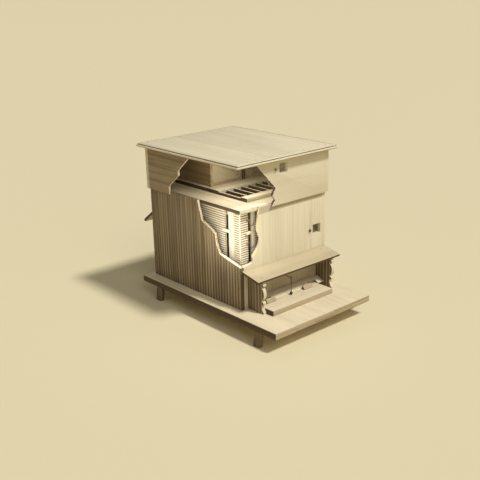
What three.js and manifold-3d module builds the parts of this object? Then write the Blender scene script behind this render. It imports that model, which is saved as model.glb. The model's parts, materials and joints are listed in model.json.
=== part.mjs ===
// A double-walled cottage beehive with a cutaway corner: an outer case with a lift-off cap and
// hinged roof, and an inner hive of slats that holds the combs. Millimetres, +Z up, front towards -Y.
// Inside the hive group, x runs from the case's left face, y from its front face and z from the
// top of the bottom board. The group is then moved so that the origin is under the whole hive.
import * as THREE from "three";
import { mergeVertices } from "three/addons/utils/BufferGeometryUtils.js";
import Module from "manifold-3d";

const wasm = await Module();
wasm.setup();

// Driving dimensions: outer case.
const caseWidth = 610;
const caseDepth = 745;
const caseTop = 516;
const stock = 22;

// Bottom board and legs.
const boardLeft = -67;
const boardRight = 614;
const boardFront = -320;
const boardRear = 770;
const boardThickness = 32;
const legHeight = 77;
const legSplay = 10;
const legWidth = 25;
const legDepth = 42;
const legFrontY = -211;
const legRearY = 600;

// Cap and roof.
const capProud = 12.5;
const capLip = 8;
const capRoofZ = 742;
const lapClearance = 0.5;
const roofThickness = 20;
const roofOverhang = 36;

// Portico and entrance.
const porticoInset = 8;
const porticoReach = 122;
const porticoBackZ = 210;
const porticoDrop = 26;
const porticoThickness = 12;
const bracketInset = 46;
const bracketThickness = 20;
const bracketReach = 115;
const alightingReach = 165;
const alightingThickness = 27;
const alightingRight = 500;
const mouthWidth = 60;
const mouthInset = 110;
const mouthHeight = 12;
const barReach = 60;
const barHeight = 21;

// Inner hive.
const innerInset = 55;
const innerWall = 13;
const innerTop = 497;
const courses = 41;
const postRunX = 50;
const postRunY = 53;
const grooveDepth = 4;

// Top boards, honey rack and honey boxes.
const boardFit = 0.5;
const sideBoardWidth = 89.5;
const rackHeight = 20;
const rackLeft = 150;
const rackRight = 584;
const rackFront = 110;
const rackRear = 716;
const boxHeight = 160;
const boxWall = 10;

// Hinges.
const knuckleRadius = 4.5;
const pinRadius = 2.2;
const boreRadius = 2.5;
const leafWidth = 60;
const leafThickness = 2.5;
const doorOpenAngle = THREE.MathUtils.degToRad(53);

// Clearance between pieces that only lie close to each other.
const gap = 0.3;

const finish = {
  pine: { color: 0xdccfa8, roughness: 0.7, metalness: 0 },
  darkPine: { color: 0x7a674a, roughness: 0.75, metalness: 0 },
  slat: { color: 0xcbb98c, roughness: 0.7, metalness: 0 },
  comb: { color: 0xb8862f, roughness: 0.6, metalness: 0 },
  iron: { color: 0x3b3833, roughness: 0.5, metalness: 0.9 },
  brass: { color: 0xa8843c, roughness: 0.35, metalness: 1 },
  gauze: { color: 0x4a463e, roughness: 0.6, metalness: 0.6 },
  glass: { color: 0xcfdcd8, roughness: 0.08, metalness: 0 },
};

const hive = new THREE.Group();

// ---------- Shapes ----------

function boxOf(x0, x1, y0, y1, z0, z1) {
  const shape = new THREE.BoxGeometry(x1 - x0, y1 - y0, z1 - z0);
  shape.translate((x0 + x1) / 2, (y0 + y1) / 2, (z0 + z1) / 2);
  return shape;
}

// An outline pushed along one axis. Points are (y, z) along x, (x, z) along y and (x, y) along z.
function prism(axis, points, from, to) {
  const outline = new THREE.Shape(points.map(([a, b]) => new THREE.Vector2(a, b)));
  const shape = new THREE.ExtrudeGeometry(outline, { depth: to - from, bevelEnabled: false });
  const basis = new THREE.Matrix4();
  if (axis === "x") {
    basis.makeBasis(new THREE.Vector3(0, 1, 0), new THREE.Vector3(0, 0, 1), new THREE.Vector3(1, 0, 0));
    basis.setPosition(from, 0, 0);
  }
  if (axis === "y") {
    basis.makeBasis(new THREE.Vector3(1, 0, 0), new THREE.Vector3(0, 0, 1), new THREE.Vector3(0, -1, 0));
    basis.setPosition(0, to, 0);
  }
  if (axis === "z") {
    basis.setPosition(0, 0, from);
  }
  return shape.applyMatrix4(basis);
}

// A round bar along x or y, from one coordinate to another, centred on the other two.
function rod(axis, radius, from, to, u, v, sides = 16) {
  const shape = new THREE.CylinderGeometry(radius, radius, to - from, sides);
  const middle = (from + to) / 2;
  if (axis === "x") {
    return shape.rotateZ(-Math.PI / 2).translate(middle, u, v);
  }
  return shape.translate(u, middle, v);
}

function solid(shape) {
  const bare = shape.clone();
  bare.deleteAttribute("normal");
  bare.deleteAttribute("uv");
  const merged = mergeVertices(bare, 1e-4);
  return new wasm.Manifold(
    new wasm.Mesh({
      numProp: 3,
      vertProperties: merged.attributes.position.array,
      triVerts: new Uint32Array(merged.index.array),
    }),
  );
}

function shapeOf(body) {
  const mesh = body.getMesh();
  const shape = new THREE.BufferGeometry();
  shape.setAttribute("position", new THREE.BufferAttribute(new Float32Array(mesh.vertProperties), 3));
  shape.setIndex(new THREE.BufferAttribute(new Uint32Array(mesh.triVerts), 1));
  shape.computeVertexNormals();
  return shape;
}

function join(...shapes) {
  return shapeOf(shapes.map(solid).reduce((whole, next) => whole.add(next)));
}

function cut(shape, ...tools) {
  return shapeOf(tools.map(solid).reduce((whole, tool) => whole.subtract(tool), solid(shape)));
}

function piece(name, shape, look, parent = hive) {
  const mesh = new THREE.Mesh(shape, new THREE.MeshStandardMaterial(finish[look]));
  mesh.name = name;
  parent.add(mesh);
  return mesh;
}

// The same piece on the opposite side of the case, across its width or its depth.
function mirrored(name, shape, look, acrossX, acrossY) {
  const mesh = piece(name, shape, look);
  mesh.scale.set(acrossX ? -1 : 1, acrossY ? -1 : 1, 1);
  mesh.position.set(acrossX ? caseWidth : 0, acrossY ? caseDepth : 0, 0);
  return mesh;
}

// ---------- Stand ----------

function legOutline(outer, inner, footOuter, footInner) {
  return [
    [outer, -boardThickness],
    [inner, -boardThickness],
    [footInner, -boardThickness - legHeight],
    [footOuter, -boardThickness - legHeight],
  ];
}

function addStand() {
  piece("bottom_board", boxOf(boardLeft, boardRight, boardFront, boardRear, -boardThickness, 0), "pine");
  const sides = [
    ["left", boardLeft, boardLeft + legWidth, -legSplay],
    ["right", boardRight, boardRight - legWidth, legSplay],
  ];
  for (const [side, outer, inner, splay] of sides) {
    const outline = legOutline(outer, inner, outer + splay, inner + splay);
    for (const [end, y] of [["front", legFrontY], ["rear", legRearY]]) {
      piece(`leg_${end}_${side}`, prism("y", outline, y, y + legDepth), "darkPine");
    }
  }
}

// ---------- Outer case ----------

// How far a broken edge leans back from a board's outer face to its inner face.
const sideLean = 16;
const frontLean = 12;
const beyond = 40;

// What is broken out of a wall: an outline that slides along the wall as it goes through the board.
function brokenOut(axis, outline, outerFace, lean) {
  const shape = prism(axis, outline, outerFace - 1, outerFace + stock + 1);
  const slope = lean / stock;
  const slide = new THREE.Matrix4();
  if (axis === "x") {
    slide.set(1, 0, 0, 0, slope, 1, 0, -slope * outerFace, 0, 0, 1, 0, 0, 0, 0, 1);
  } else {
    slide.set(1, slope, 0, -slope * outerFace, 0, 1, 0, 0, 0, 0, 1, 0, 0, 0, 0, 1);
  }
  return shape.applyMatrix4(slide);
}

const vent = { left: 518, right: 578, bottom: 287, top: 340, pivotX: 494 };
const capVent = { left: 262, right: 318, bottom: 669, top: 719, pivotX: 234 };
const spindleBore = 3.2;
const doorHole = { left: 60, right: 550, bottom: 247, top: 347 };

function ventCutters(hole, y0, y1) {
  const pivotZ = (hole.bottom + hole.top) / 2;
  return [
    boxOf(hole.left, hole.right, y0, y1, hole.bottom, hole.top),
    rod("y", spindleBore, y0, y1, hole.pivotX, pivotZ),
  ];
}

function mouths(y0, y1) {
  const bottom = alightingThickness;
  const farLeft = caseWidth - mouthInset - mouthWidth;
  return [mouthInset, farLeft].map((x) =>
    boxOf(x, x + mouthWidth, y0, y1, bottom, bottom + mouthHeight),
  );
}

function addCase() {
  // The broken edges run from the case's top down to its near corner.
  const leftBreak = [
    [-beyond, caseTop + 10],
    [-beyond, 218],
    [0, 228],
    [157, 265],
    [181, 314],
    [190, 367],
    [243, 394],
    [294, 413],
    [324, caseTop],
    [327, caseTop + 10],
  ];
  const frontBreak = [
    [-beyond, caseTop + 10],
    [-beyond, 217],
    [stock, 228],
    [83, 239],
    [80, 268],
    [103, 291],
    [122, 318],
    [132, 350],
    [111, 404],
    [130, caseTop],
    [132, caseTop + 10],
  ];
  const front = boxOf(stock, caseWidth - stock, 0, stock, 0, caseTop);
  const frontTools = [brokenOut("y", frontBreak, 0, frontLean), ...ventCutters(vent, -1, stock + 1)];
  piece("front_wall", cut(front, ...frontTools, ...mouths(-1, stock + 1)), "pine");
  const left = boxOf(0, stock, 0, caseDepth - stock, 0, caseTop);
  piece("left_wall", cut(left, brokenOut("x", leftBreak, 0, sideLean)), "darkPine");
  piece("right_wall", boxOf(caseWidth - stock, caseWidth, 0, caseDepth - stock, 0, caseTop), "pine");
  const rear = boxOf(0, caseWidth, caseDepth - stock, caseDepth, 0, caseTop);
  const hole = boxOf(
    doorHole.left,
    doorHole.right,
    caseDepth - stock - 1,
    caseDepth + 1,
    doorHole.bottom,
    doorHole.top,
  );
  piece("rear_wall", cut(rear, hole), "pine");
}

// A gauze behind a vent, and a swinging shutter on a spindle with a knob outside the wall.
function addVent(prefix, hole, wallFace) {
  const inner = wallFace + stock;
  const border = 8;
  const gauzeThickness = 1.5;
  piece(
    `${prefix}_vent_screen`,
    boxOf(
      hole.left - border,
      hole.right + border,
      inner,
      inner + gauzeThickness,
      hole.bottom - border,
      hole.top + border,
    ),
    "gauze",
  );
  const pivotZ = (hole.bottom + hole.top) / 2;
  const near = hole.left - hole.pivotX - 3;
  const far = hole.right - hole.pivotX + 3;
  const half = (hole.top - hole.bottom) / 2 + 3;
  const armHalf = 7;
  const round = 14;
  const outline = [
    [hole.pivotX - armHalf, pivotZ + armHalf],
    [hole.pivotX - armHalf, pivotZ - near],
    [hole.pivotX - half, pivotZ - near],
    [hole.pivotX - half, pivotZ - far + round],
    [hole.pivotX - half + round, pivotZ - far],
    [hole.pivotX + half - round, pivotZ - far],
    [hole.pivotX + half, pivotZ - far + round],
    [hole.pivotX + half, pivotZ - near],
    [hole.pivotX + armHalf, pivotZ - near],
    [hole.pivotX + armHalf, pivotZ + armHalf],
  ];
  const plateY = inner + gauzeThickness + gap;
  const shutter = join(
    prism("y", outline, plateY, plateY + 2.5),
    rod("y", spindleBore - 0.4, wallFace - 3, plateY + 1, hole.pivotX, pivotZ),
    rod("y", 7, wallFace - 8, wallFace - gap, hole.pivotX, pivotZ),
  );
  piece(`${prefix}_vent_shutter`, shutter, "iron");
}

// ---------- Portico and entrance ----------

function porticoUnderside(y) {
  return porticoBackZ - porticoThickness + (porticoDrop * y) / porticoReach;
}

// The bracket's front edge: a bead, a long swelling, a second bead and a flared foot.
function bracketOutline() {
  const top = porticoUnderside(-bracketReach) - gap;
  const points = [
    [0, 0],
    [0, porticoUnderside(0) - gap],
    [-bracketReach, top],
  ];
  const bead = (centreY, centreZ, radiusY, radiusZ, steps) => {
    for (let i = 0; i <= steps; i++) {
      const turn = Math.PI / 2 - (Math.PI * i) / steps;
      points.push([centreY - radiusY * Math.cos(turn), centreZ + radiusZ * Math.sin(turn)]);
    }
  };
  bead(-bracketReach + 12, 153, 12, 9, 6);
  bead(-bracketReach + 17, 105, 20, 34, 10);
  bead(-bracketReach + 12, 57, 12, 9, 6);
  points.push([-bracketReach + 14, 36]);
  points.push([-bracketReach + 6, 20]);
  points.push([-bracketReach, 8]);
  points.push([-bracketReach, 0]);
  return points;
}

function addPortico() {
  const roof = [
    [0, porticoUnderside(0)],
    [0, porticoBackZ],
    [-porticoReach, porticoBackZ - porticoDrop],
    [-porticoReach, porticoUnderside(-porticoReach)],
  ];
  piece("portico_roof", prism("x", roof, porticoInset, caseWidth - porticoInset), "pine");
  const right = caseWidth - bracketInset - bracketThickness;
  for (const [side, x] of [["left", bracketInset], ["right", right]]) {
    piece(`portico_bracket_${side}`, prism("x", bracketOutline(), x, x + bracketThickness), "pine");
  }
}

const boardEnd = bracketInset + bracketThickness;
const slideReach = 18;
const slideHeight = 22;
const latchX = 283;
const latchY = -72;
const latchZ = 123;

function addEntrance() {
  const top = alightingThickness;
  piece(
    "alighting_board",
    boxOf(boardEnd, alightingRight, -alightingReach, 0, 0, top),
    "pine",
  );
  const barOutline = [
    [0, top],
    [0, top + barHeight],
    [-14, top + barHeight],
    [-barReach, top + 3],
    [-barReach, top],
  ];
  const bar = prism("x", barOutline, boardEnd, caseWidth - boardEnd);
  piece("entrance_bar", cut(bar, ...mouths(-barReach - 1, 1)), "pine");

  // The left slide stands before its mouth and the right one beside it.
  const front = -barReach - gap;
  const slideOutline = [
    [front, top],
    [front, top + slideHeight],
    [front - 5, top + slideHeight],
    [front - slideReach, top + 4],
    [front - slideReach, top],
  ];
  const leftX = mouthInset - 2;
  const rightX = caseWidth - mouthInset - 2 * mouthWidth - 4;
  for (const [side, x] of [["left", leftX], ["right", rightX]]) {
    piece(`entrance_slide_${side}`, prism("x", slideOutline, x, x + mouthWidth + 4), "pine");
  }

  // A ball on a rod hangs from a long screw in the wall and swings before the entrance.
  const ballRadius = 8;
  const ball = new THREE.Vector3(latchX, latchY, top + ballRadius + 2);
  const stemTop = latchZ - 6;
  const stem = new THREE.CylinderGeometry(2.2, 2.2, stemTop - ball.z, 8);
  stem.rotateX(Math.PI / 2);
  stem.translate(latchX, latchY, (stemTop + ball.z) / 2);
  const bob = new THREE.SphereGeometry(ballRadius, 12, 8).translate(...ball.toArray());
  const ring = rod("y", 7, latchY - 2.5, latchY + 2.5, latchX, latchZ);
  const bore = rod("y", 3, latchY - 10, latchY + 10, latchX, latchZ);
  piece("entrance_latch", cut(join(ring, stem, bob), bore), "iron");
  const shank = rod("y", 2.5, latchY - 5, 0, latchX, latchZ);
  const head = rod("y", 6, latchY - 6, latchY - 3.5, latchX, latchZ);
  piece("entrance_latch_screw", join(shank, head), "brass");
}

// ---------- Inner hive ----------

// The section of a wall of horizontal slats: its outer face stands at zero, and a groove parts
// each course from the next.
function slattedSection(face, direction, shift) {
  const pitch = innerTop / courses;
  const grooveHeight = pitch * 0.45;
  const points = [[face + direction * innerWall, 0], [face + direction * innerWall, innerTop], [face, innerTop]];
  for (let i = courses - 1; i > 0; i--) {
    const z = (i + shift) * pitch;
    points.push([face, z + grooveHeight / 2]);
    points.push([face + direction * grooveDepth, z + grooveHeight / 2]);
    points.push([face + direction * grooveDepth, z - grooveHeight / 2]);
    points.push([face, z - grooveHeight / 2]);
  }
  points.push([face, 0]);
  return points;
}

function addInnerHive() {
  const near = innerInset;
  const post = join(
    prism("x", slattedSection(near, 1, 0), near, near + postRunX),
    prism("y", slattedSection(near, 1, -0.5), near + innerWall - 2, near + postRunY),
    boxOf(near + 9, near + innerWall, near + postRunY - 8, near + 65, 0, innerTop),
    boxOf(near + 2, near + innerWall, near + 57, near + 97, 0, innerTop),
  );
  const frontPanel = join(
    prism("x", slattedSection(near, 1, 0), 140, caseWidth - 140),
    boxOf(128, 150, near - 2, near + innerWall, 0, innerTop),
    boxOf(caseWidth - 150, caseWidth - 128, near - 2, near + innerWall, 0, innerTop),
  );
  const sidePanel = prism("y", slattedSection(near, 1, 0), 178, caseDepth - 178);
  for (const [end, acrossY] of [["front", false], ["rear", true]]) {
    for (const [side, acrossX] of [["left", false], ["right", true]]) {
      mirrored(`inner_post_${end}_${side}`, post, "slat", acrossX, acrossY);
    }
    mirrored(`inner_panel_${end}`, frontPanel, "slat", false, acrossY);
  }
  mirrored("inner_panel_left", sidePanel, "slat", false, false);
  mirrored("inner_panel_right", sidePanel, "slat", true, false);
  addPanelFasteners();
}

const buttonZ = 380;
const endButtonX = 96;
const sideButtonY = 140;
const buttonHalf = 8;
const buttonThickness = 8;

function buttonOutline(pivot, length) {
  const corner = 3;
  return [
    [pivot - buttonHalf, buttonZ - buttonHalf + corner],
    [pivot - buttonHalf + corner, buttonZ - buttonHalf],
    [pivot + length - corner, buttonZ - buttonHalf],
    [pivot + length, buttonZ - buttonHalf + corner],
    [pivot + length, buttonZ + buttonHalf - corner],
    [pivot + length - corner, buttonZ + buttonHalf],
    [pivot - buttonHalf + corner, buttonZ + buttonHalf],
    [pivot - buttonHalf, buttonZ + buttonHalf - corner],
  ];
}

function addPanelFasteners() {
  // Each panel is held by a wooden turn button that bridges the slot beside it.
  const face = innerInset - 2.5;
  const onEnd = join(
    prism("y", buttonOutline(endButtonX, 36), face - buttonThickness, face),
    rod("y", 5, face - 1, innerInset - gap, endButtonX, buttonZ, 12),
  );
  mirrored("panel_button_front", onEnd, "pine", false, false);
  mirrored("panel_button_rear", onEnd, "pine", false, true);
  const onSide = join(
    prism("x", buttonOutline(sideButtonY, 48), face + 1.5 - buttonThickness, face + 1.5),
    rod("x", 5, face, innerInset + 2 - gap, sideButtonY, buttonZ, 12),
  );
  mirrored("panel_button_left", onSide, "pine", false, false);
  mirrored("panel_button_right", onSide, "pine", true, false);

  // Two wire hooks reach across the front slot to the panel's stile.
  const wireY = innerInset - 4.5;
  const wireRadius = 2;
  for (const [level, z] of [["upper", 448], ["lower", 328]]) {
    const curve = new THREE.CatmullRomCurve3(
      [
        new THREE.Vector3(98, wireY, z),
        new THREE.Vector3(113, wireY, z - 4),
        new THREE.Vector3(114, wireY, z - 22),
        new THREE.Vector3(121, wireY, z - 34),
        new THREE.Vector3(134, wireY, z - 32),
        new THREE.Vector3(138, wireY, z - 20),
      ],
      false,
      "centripetal",
    );
    const section = new THREE.Shape();
    section.absarc(0, 0, wireRadius, 0, Math.PI * 2);
    const wire = new THREE.ExtrudeGeometry(section, {
      steps: 14,
      curveSegments: 3,
      extrudePath: curve,
    });
    const eye = rod("y", wireRadius + 3, wireY - wireRadius, innerInset - gap, 98, z, 12);
    piece(`panel_hook_${level}`, join(wire, eye), "iron");
  }
}

// ---------- Combs ----------

// A bank of comb frames, their top bars lying across two rails that stand on corner posts.
function addCombs() {
  const frames = 7;
  const pitch = 38;
  const barWidth = 24;
  const left = 74;
  const right = caseWidth - 74;
  const railZ = 455;
  const railHeight = 12;
  const barTop = 485;
  const starts = [["front", 82], ["rear", 411]];
  for (const [end, start] of starts) {
    const length = pitch * (frames - 1) + barWidth;
    const parts = [];
    for (const x of [left, right - 12]) {
      parts.push(boxOf(x, x + 12, start, start + length, railZ, railZ + railHeight));
      for (const y of [start, start + length - 20]) {
        parts.push(boxOf(x, x + 12, y, y + 20, 0, railZ + 1));
      }
    }
    for (let i = 0; i < frames; i++) {
      const y = start + i * pitch;
      parts.push(boxOf(left, right, y, y + barWidth, railZ + railHeight - 1, barTop));
      parts.push(boxOf(left + 18, right - 18, y + 1, y + barWidth - 1, 30, railZ + railHeight));
    }
    piece(`comb_bank_${end}`, join(...parts), "comb");
  }
}

// ---------- Top boards, rack and honey boxes ----------

function addTopBoards() {
  const low = innerTop;
  const high = caseTop;
  const y0 = stock + boardFit;
  const y1 = caseDepth - stock - boardFit;
  const inside = stock + boardFit;
  const seam = inside + sideBoardWidth;
  piece("top_board_left", boxOf(inside, seam, y0, y1, low, high), "pine");
  piece("top_board_right", boxOf(caseWidth - seam, caseWidth - inside, y0, y1, low, high), "pine");
  const middle = boxOf(seam + boardFit, caseWidth - seam - boardFit, y0, y1, low, high);
  const passages = [210, 290, 370, 450].map((x) => boxOf(x, x + 22, 470, 660, low - 1, high + 1));
  piece("top_board_middle", cut(middle, ...passages), "pine");
}

function addRack() {
  const base = caseTop;
  const top = base + rackHeight;
  const barTop = base + 15;
  const barWidth = 9;
  const railWidth = 50;
  const crossY = 335;
  const sideWidth = 30;
  const parts = [
    boxOf(rackLeft, rackRight, rackFront, rackFront + railWidth, base, top),
    boxOf(rackLeft, rackRight, crossY, crossY + 110, base, top),
    boxOf(rackLeft, rackRight, rackRear - sideWidth, rackRear, base, top),
    boxOf(rackLeft, rackLeft + sideWidth, crossY + 60, rackRear, base, top),
    boxOf(rackRight - sideWidth, rackRight, crossY + 60, rackRear, base, top),
  ];
  const bars = 9;
  const pitch = (rackRight - rackLeft - barWidth) / (bars - 1);
  for (let i = 0; i < bars; i++) {
    const x = rackLeft + i * pitch;
    parts.push(boxOf(x, x + barWidth, rackFront + railWidth - 5, crossY + 5, base, barTop));
  }
  for (const x of [266, 346, 426]) {
    parts.push(boxOf(x, x + 20, crossY + 100, rackRear - 10, base, top));
  }
  piece("honey_rack", join(...parts), "pine");
}

const boxFront = 430;
const boxRear = 700;
const honeyBoxes = [
  { side: "left", x0: 176, x1: 411 },
  { side: "right", x0: 415, x1: 582 },
];

function addHoneyBoxes() {
  const base = caseTop + rackHeight;
  const top = base + boxHeight;
  for (const { side, x0, x1 } of honeyBoxes) {
    const inside = boxOf(
      x0 + boxWall,
      x1 - boxWall,
      boxFront - 1,
      boxRear - boxWall,
      base + boxWall,
      top - boxWall,
    );
    const middle = (x0 + x1) / 2;
    const passages = [middle - 45, middle + 25].map((x) =>
      boxOf(x, x + 20, boxFront + 50, boxRear - 50, base - 1, base + boxWall + 1),
    );
    piece(`honey_box_${side}`, cut(boxOf(x0, x1, boxFront, boxRear, base, top), inside, ...passages), "pine");
    const pane = boxOf(
      x0 + boxWall + 0.5,
      x1 - boxWall - 0.5,
      boxFront + 4,
      boxFront + 7,
      base + boxWall + 0.5,
      top - boxWall - 0.5,
    );
    piece(`honey_glass_${side}`, pane, "glass");
  }
}

// ---------- Cap and roof ----------

function addCap() {
  const outerX0 = -capProud;
  const outerX1 = caseWidth + capProud;
  const outerY0 = -capProud;
  const outerY1 = caseDepth + capProud;
  const low = caseTop - capLip;
  const rabbet = boxOf(
    -lapClearance,
    caseWidth + lapClearance,
    -lapClearance,
    caseDepth + lapClearance,
    low - 1,
    caseTop,
  );
  const sideEnd = outerY1 - stock;
  const leftBreak = [
    [-beyond, low - 1],
    [551, low - 1],
    [551, 552],
    [462, 624],
    [465, 649],
    [369, 732],
    [358, capRoofZ + 1],
    [-beyond, capRoofZ + 1],
  ];
  const frontBreak = [
    [-beyond, low - 1],
    [200, low - 1],
    [227, 537],
    [208, 562],
    [230, 600],
    [110, 728],
    [98, capRoofZ + 1],
    [-beyond, capRoofZ + 1],
  ];
  const left = boxOf(outerX0, outerX0 + stock, outerY0, sideEnd, low, capRoofZ);
  const right = boxOf(outerX1 - stock, outerX1, outerY0, sideEnd, low, capRoofZ);
  const front = boxOf(outerX0 + stock, outerX1 - stock, outerY0, outerY0 + stock, low, capRoofZ);
  const rear = boxOf(outerX0, outerX1, sideEnd, outerY1, low, capRoofZ);
  piece("cap_left", cut(left, rabbet, brokenOut("x", leftBreak, outerX0, sideLean)), "darkPine");
  piece("cap_right", cut(right, rabbet), "pine");
  const frontOpenings = ventCutters(capVent, outerY0 - 1, outerY0 + stock + 1);
  const frontGap = brokenOut("y", frontBreak, outerY0, frontLean);
  piece("cap_front", cut(front, rabbet, frontGap, ...frontOpenings), "pine");
  piece("cap_rear", cut(rear, rabbet), "pine");
}

function addRoof() {
  const out = capProud + roofOverhang;
  const edge = 7;
  const x0 = -out;
  const x1 = caseWidth + out;
  const y0 = -out;
  const y1 = caseDepth + out;
  // The moulded edge steps in at the top and rounds over below it.
  const layers = [
    [0, capRoofZ, capRoofZ + 13],
    [edge, capRoofZ + 12, capRoofZ + roofThickness],
  ];
  const slabs = layers.map(([inset, low, high]) =>
    boxOf(x0 + inset, x1 - inset, y0 + inset, y1 - inset, low, high),
  );
  piece("roof", join(...slabs), "pine");
}

// ---------- Hinges ----------

// A butt hinge in two nodes, laid along x. The fixed leaf carries the two outer knuckles, and the
// moving leaf the middle one with the pin.
function fixedLeaf(centreX, axisY, axisZ, plate, notch) {
  const half = leafWidth / 2;
  const inner = leafWidth / 6;
  const knuckle = (a, b) => rod("x", knuckleRadius, a, b, axisY, axisZ);
  const body = join(
    boxOf(centreX - half, centreX + half, ...plate),
    knuckle(centreX - half, centreX - inner),
    knuckle(centreX + inner, centreX + half),
  );
  const middle = boxOf(centreX - inner, centreX + inner, ...notch);
  return cut(body, rod("x", boreRadius, centreX - half - 1, centreX + half + 1, axisY, axisZ), middle);
}

function movingLeaf(centreX, axisY, axisZ, plate, web) {
  const half = leafWidth / 2;
  const inner = leafWidth / 6 - 0.5;
  return join(
    boxOf(centreX - half, centreX + half, ...plate),
    boxOf(centreX - inner, centreX + inner, ...web),
    rod("x", knuckleRadius, centreX - inner, centreX + inner, axisY, axisZ),
    rod("x", pinRadius, centreX - half, centreX + half, axisY, axisZ, 12),
  );
}

const hingeXs = [["left", 130], ["right", caseWidth - 130]];

function addRoofHinges() {
  const wall = caseDepth + capProud;
  const axisY = wall + 6;
  const axisZ = capRoofZ - 5;
  const reach = knuckleRadius + 1;
  for (const [side, x] of hingeXs) {
    const wallPlate = [wall, wall + leafThickness, axisZ - 34, axisZ];
    const notch = [wall - 1, axisY + reach, axisZ - reach, axisZ + reach];
    piece(`cap_hinge_leaf_${side}`, fixedLeaf(x, axisY, axisZ, wallPlate, notch), "iron");
    const roofPlate = [axisY + reach, axisY + 28, capRoofZ - gap - leafThickness, capRoofZ - gap];
    const web = [axisY, axisY + reach + 1, capRoofZ - gap - leafThickness, capRoofZ - gap];
    piece(`roof_hinge_leaf_${side}`, movingLeaf(x, axisY, axisZ, roofPlate, web), "iron");
  }
}

const doorAxisY = caseDepth + 6;
const doorAxisZ = 369;
const doorThickness = 15;
const doorTip = new THREE.Vector2(0.5 - 6 + doorThickness, -136);

function addRearDoor() {
  const reach = knuckleRadius + 1;
  const swing = new THREE.Group();
  swing.position.set(0, doorAxisY, doorAxisZ);
  swing.rotation.x = doorOpenAngle;
  hive.add(swing);
  const inner = 0.5 - 6;
  const topZ = -7.5;
  const bottomZ = doorTip.y;
  const door = boxOf(24, caseWidth - 24, inner, inner + doorThickness, bottomZ, topZ);
  piece("rear_door", door, "pine", swing);
  for (const [side, x] of hingeXs) {
    const wallPlate = [caseDepth, caseDepth + leafThickness, doorAxisZ, doorAxisZ + 34];
    const notch = [caseDepth - 1, doorAxisY + reach, doorAxisZ - reach, doorAxisZ + reach];
    piece(`rear_hinge_leaf_${side}`, fixedLeaf(x, doorAxisY, doorAxisZ, wallPlate, notch), "iron");
    const doorPlate = [-3, 9, topZ + gap, topZ + gap + 2];
    const web = [-3, 3, topZ + gap + 1, -1];
    piece(`door_hinge_leaf_${side}`, movingLeaf(x, 0, 0, doorPlate, web), "iron", swing);
  }
}

addStand();
addCase();
addVent("front", vent, 0);
addPortico();
addEntrance();
addInnerHive();
addCombs();
addTopBoards();
addRack();
addHoneyBoxes();
addCap();
addVent("cap", capVent, -capProud);
addRoof();
addRoofHinges();
addRearDoor();

// The origin lies on the ground under the middle of the whole hive, rear door and legs included.
const doorReach = doorTip.x * Math.cos(doorOpenAngle) - doorTip.y * Math.sin(doorOpenAngle);
const originX = (boardLeft - legSplay + caseWidth + capProud + roofOverhang) / 2;
const originY = (boardFront + doorAxisY + doorReach) / 2;
hive.position.set(-originX, -originY, boardThickness + legHeight);

const beehive = new THREE.Group();
beehive.add(hive);

export default beehive;
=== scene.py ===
"""The looks of the beehive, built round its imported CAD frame.

Shapes are laid out in hive millimetres: x from the case's left face, y from its front face,
z from the top of the bottom board. They are then turned into metres in the row frame.
"""

import json
import math
import random

import bmesh
import bpy
from mathutils import Matrix, Vector


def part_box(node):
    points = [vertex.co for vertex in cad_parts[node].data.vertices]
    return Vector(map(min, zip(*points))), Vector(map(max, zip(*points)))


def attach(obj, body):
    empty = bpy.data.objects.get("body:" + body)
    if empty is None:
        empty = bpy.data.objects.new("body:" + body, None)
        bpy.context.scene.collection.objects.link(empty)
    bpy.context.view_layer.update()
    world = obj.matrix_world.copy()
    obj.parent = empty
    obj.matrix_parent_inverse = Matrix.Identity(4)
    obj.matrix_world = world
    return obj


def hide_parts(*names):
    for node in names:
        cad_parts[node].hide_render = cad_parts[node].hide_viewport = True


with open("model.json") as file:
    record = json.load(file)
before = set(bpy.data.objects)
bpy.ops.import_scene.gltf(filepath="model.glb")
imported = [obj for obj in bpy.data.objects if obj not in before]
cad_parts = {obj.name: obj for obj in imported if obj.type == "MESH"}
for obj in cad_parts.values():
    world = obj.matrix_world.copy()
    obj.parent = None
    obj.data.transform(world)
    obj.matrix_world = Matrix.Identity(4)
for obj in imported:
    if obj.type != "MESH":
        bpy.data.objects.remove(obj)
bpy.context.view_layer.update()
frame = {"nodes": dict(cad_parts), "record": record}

MM = 0.001
AXES = {"x": 0, "y": 1, "z": 2}
NODES = frame["nodes"]
NODE_BODY = {
    node: body
    for body, members in frame["record"]["behaviour"]["bodies"].items()
    for node in members
}
NODE_SLOT = {s["node"]: s["material_slot"] for s in frame["record"]["subparts"]}

# The hive's main sizes and places, in hive millimetres. Rails are front to rear.
CASE_WIDTH = 610
CASE_DEPTH = 745
CASE_TOP = 516
WALL = 22
BOARD_LEFT, BOARD_RIGHT = -67, 614
BOARD_FRONT, BOARD_REAR = -320, 770
BOARD_THICKNESS = 32
PORTICO_FALL = 26 / 122
PORTICO_UNDER, PORTICO_TOP = 198, 210
INNER_FACE = 55
SLAT_PITCH = 497 / 41
RACK_LEFT, RACK_RIGHT = 150, 584
RACK_REAR = 716
RACK_HEIGHT = 20
RACK_FRONT_RAIL, RACK_MIDDLE_RAIL, RACK_REAR_RAIL = (110, 160), (335, 445), (686, RACK_REAR)
CAP_PROUD = 12.5
CAP_TOP = 742
ROOF_OVERHANG = 48.5
ROOF_TOP = 762
HINGE_XS = (130, 480)

# The bottom board's lowest corner ties hive millimetres to the row frame.
BOARD_CORNER = Vector((BOARD_LEFT, BOARD_FRONT, -BOARD_THICKNESS))
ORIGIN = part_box("bottom_board")[0] - BOARD_CORNER * MM
TO_ROW = Matrix.Translation(ORIGIN) @ Matrix.Scale(MM, 4)
TO_HIVE = TO_ROW.inverted()
rng = random.Random(1861)


# ---------- Materials ----------

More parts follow.
